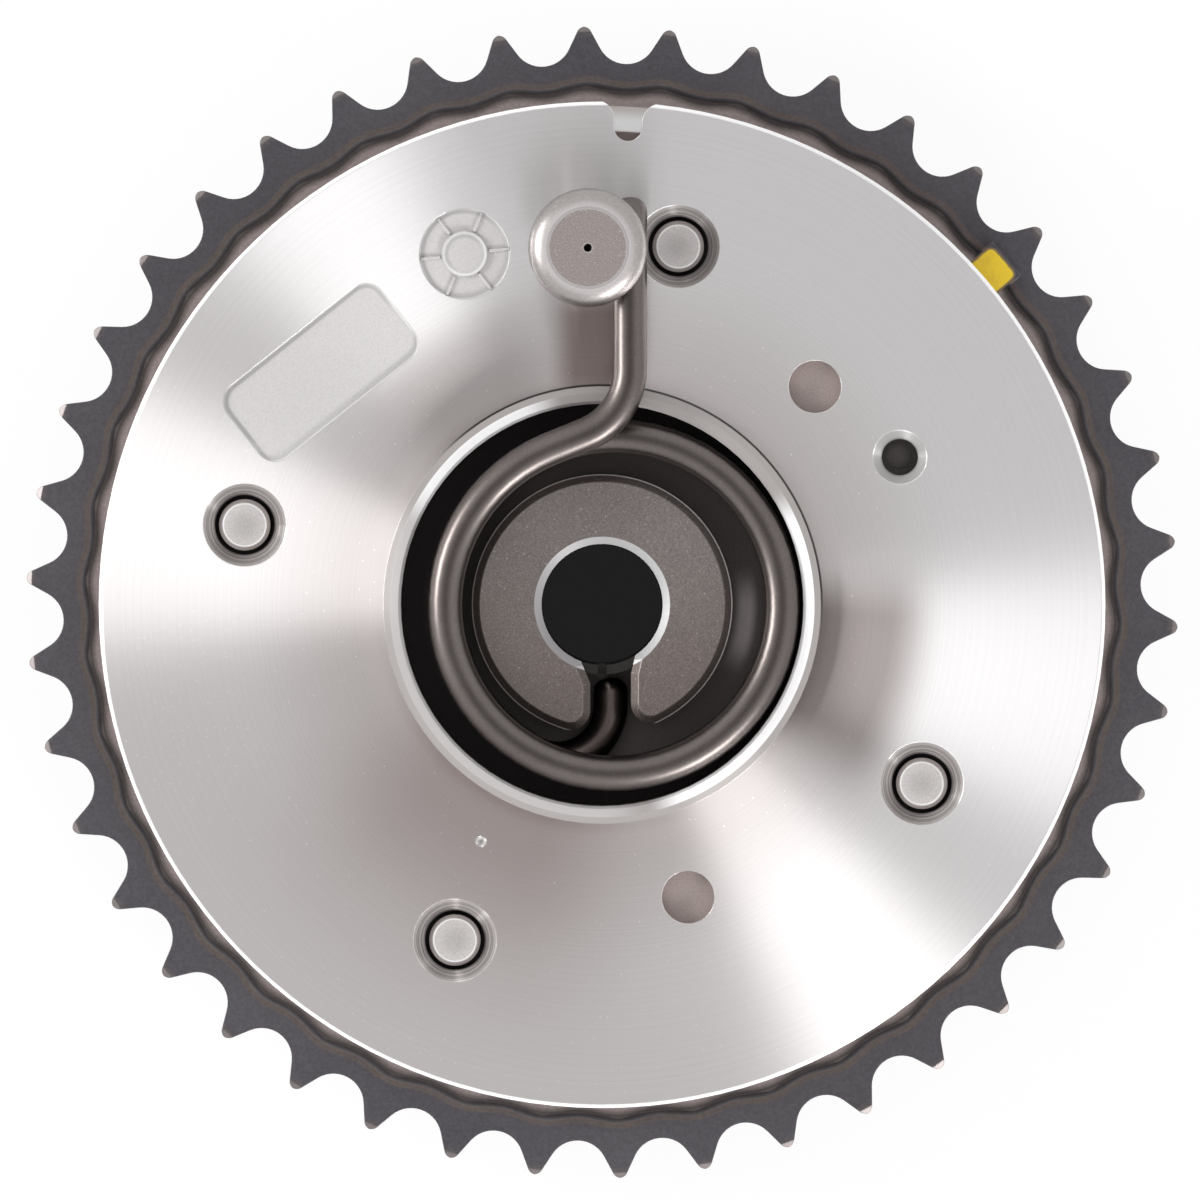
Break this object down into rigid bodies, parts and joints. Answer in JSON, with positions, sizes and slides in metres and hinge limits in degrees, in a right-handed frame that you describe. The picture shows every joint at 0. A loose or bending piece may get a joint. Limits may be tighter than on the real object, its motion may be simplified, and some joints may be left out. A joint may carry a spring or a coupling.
{
  "type": "cam phaser",
  "caption": "Vane-type camshaft phaser with chain sprocket, turned cover, torsion bias spring and lock pin.",
  "frame": {"origin": "on the turning axis, at the rear face of the rear boss, on which the phaser lies", "axes": "+Z along the turning axis from the camshaft side to the cover and spring; +Y towards the spring post"},
  "size_m": [0.109, 0.109, 0.0422],
  "materials": {
    "sprocket": "sintered steel, dark, oiled",
    "stator": "sintered steel, turned",
    "cover_plate": "turned steel face with circular tool marks",
    "rotor": "ground sintered steel",
    "spring_hub": "sintered steel, speckled",
    "locating_sleeve": "rolled spring steel",
    "torsion_spring": "oil-tempered spring wire",
    "spring_post": "turned steel, satin",
    "screw_steel": "phosphated steel",
    "spring_strip": "spring steel strip",
    "seal_strip": "filled polymer",
    "lock_pin": "hardened ground steel",
    "lock_plug": "turned aluminium",
    "lock_spring": "spring wire",
    "lock_bushing": "hardened ground steel",
    "timing_mark": "matt yellow paint"
  },
  "bodies": {
    "housing": {"cover_plate": "cover_plate", "land_seal_1": "seal_strip", "land_seal_1_leaf": "spring_strip", "land_seal_2": "seal_strip", "land_seal_2_leaf": "spring_strip", "land_seal_3": "seal_strip", "land_seal_3_leaf": "spring_strip", "land_seal_4": "seal_strip", "land_seal_4_leaf": "spring_strip", "lock_bushing": "lock_bushing", "screw_1": "screw_steel", "screw_2": "screw_steel", "screw_3": "screw_steel", "screw_4": "screw_steel", "spring_post": "spring_post", "sprocket": "sprocket", "stator": "stator", "timing_mark": "timing_mark", "torsion_spring": "torsion_spring"},
    "rotor": {"rotor": "rotor", "spring_hub": "spring_hub", "locating_sleeve": "locating_sleeve", "lock_plug": "lock_plug", "lock_spring": "lock_spring", "vane_seal_1": "seal_strip", "vane_seal_1_leaf": "spring_strip", "vane_seal_2": "seal_strip", "vane_seal_2_leaf": "spring_strip", "vane_seal_3": "seal_strip", "vane_seal_3_leaf": "spring_strip", "vane_seal_4": "seal_strip", "vane_seal_4_leaf": "spring_strip"},
    "lock_pin": {"lock_pin": "lock_pin"}
  },
  "joints": [
    {"name": "rotor_phase", "type": "hinge", "parent": "housing", "child": "rotor", "pos_m": [0, 0, 0.02], "axis": [0, 0, 1], "range_deg": [0, 25], "stiffness_Nm_per_rad": 0.65, "springref_deg": -85.94, "deforming": ["torsion_spring"]},
    {"name": "lock_pin_slide", "type": "slide", "parent": "rotor", "child": "lock_pin", "axis": [0, 0, 1], "range_m": [0, 0.0012], "stiffness_N_per_m": 800, "springref_m": -0.006, "deforming": ["lock_spring"]}
  ]
}
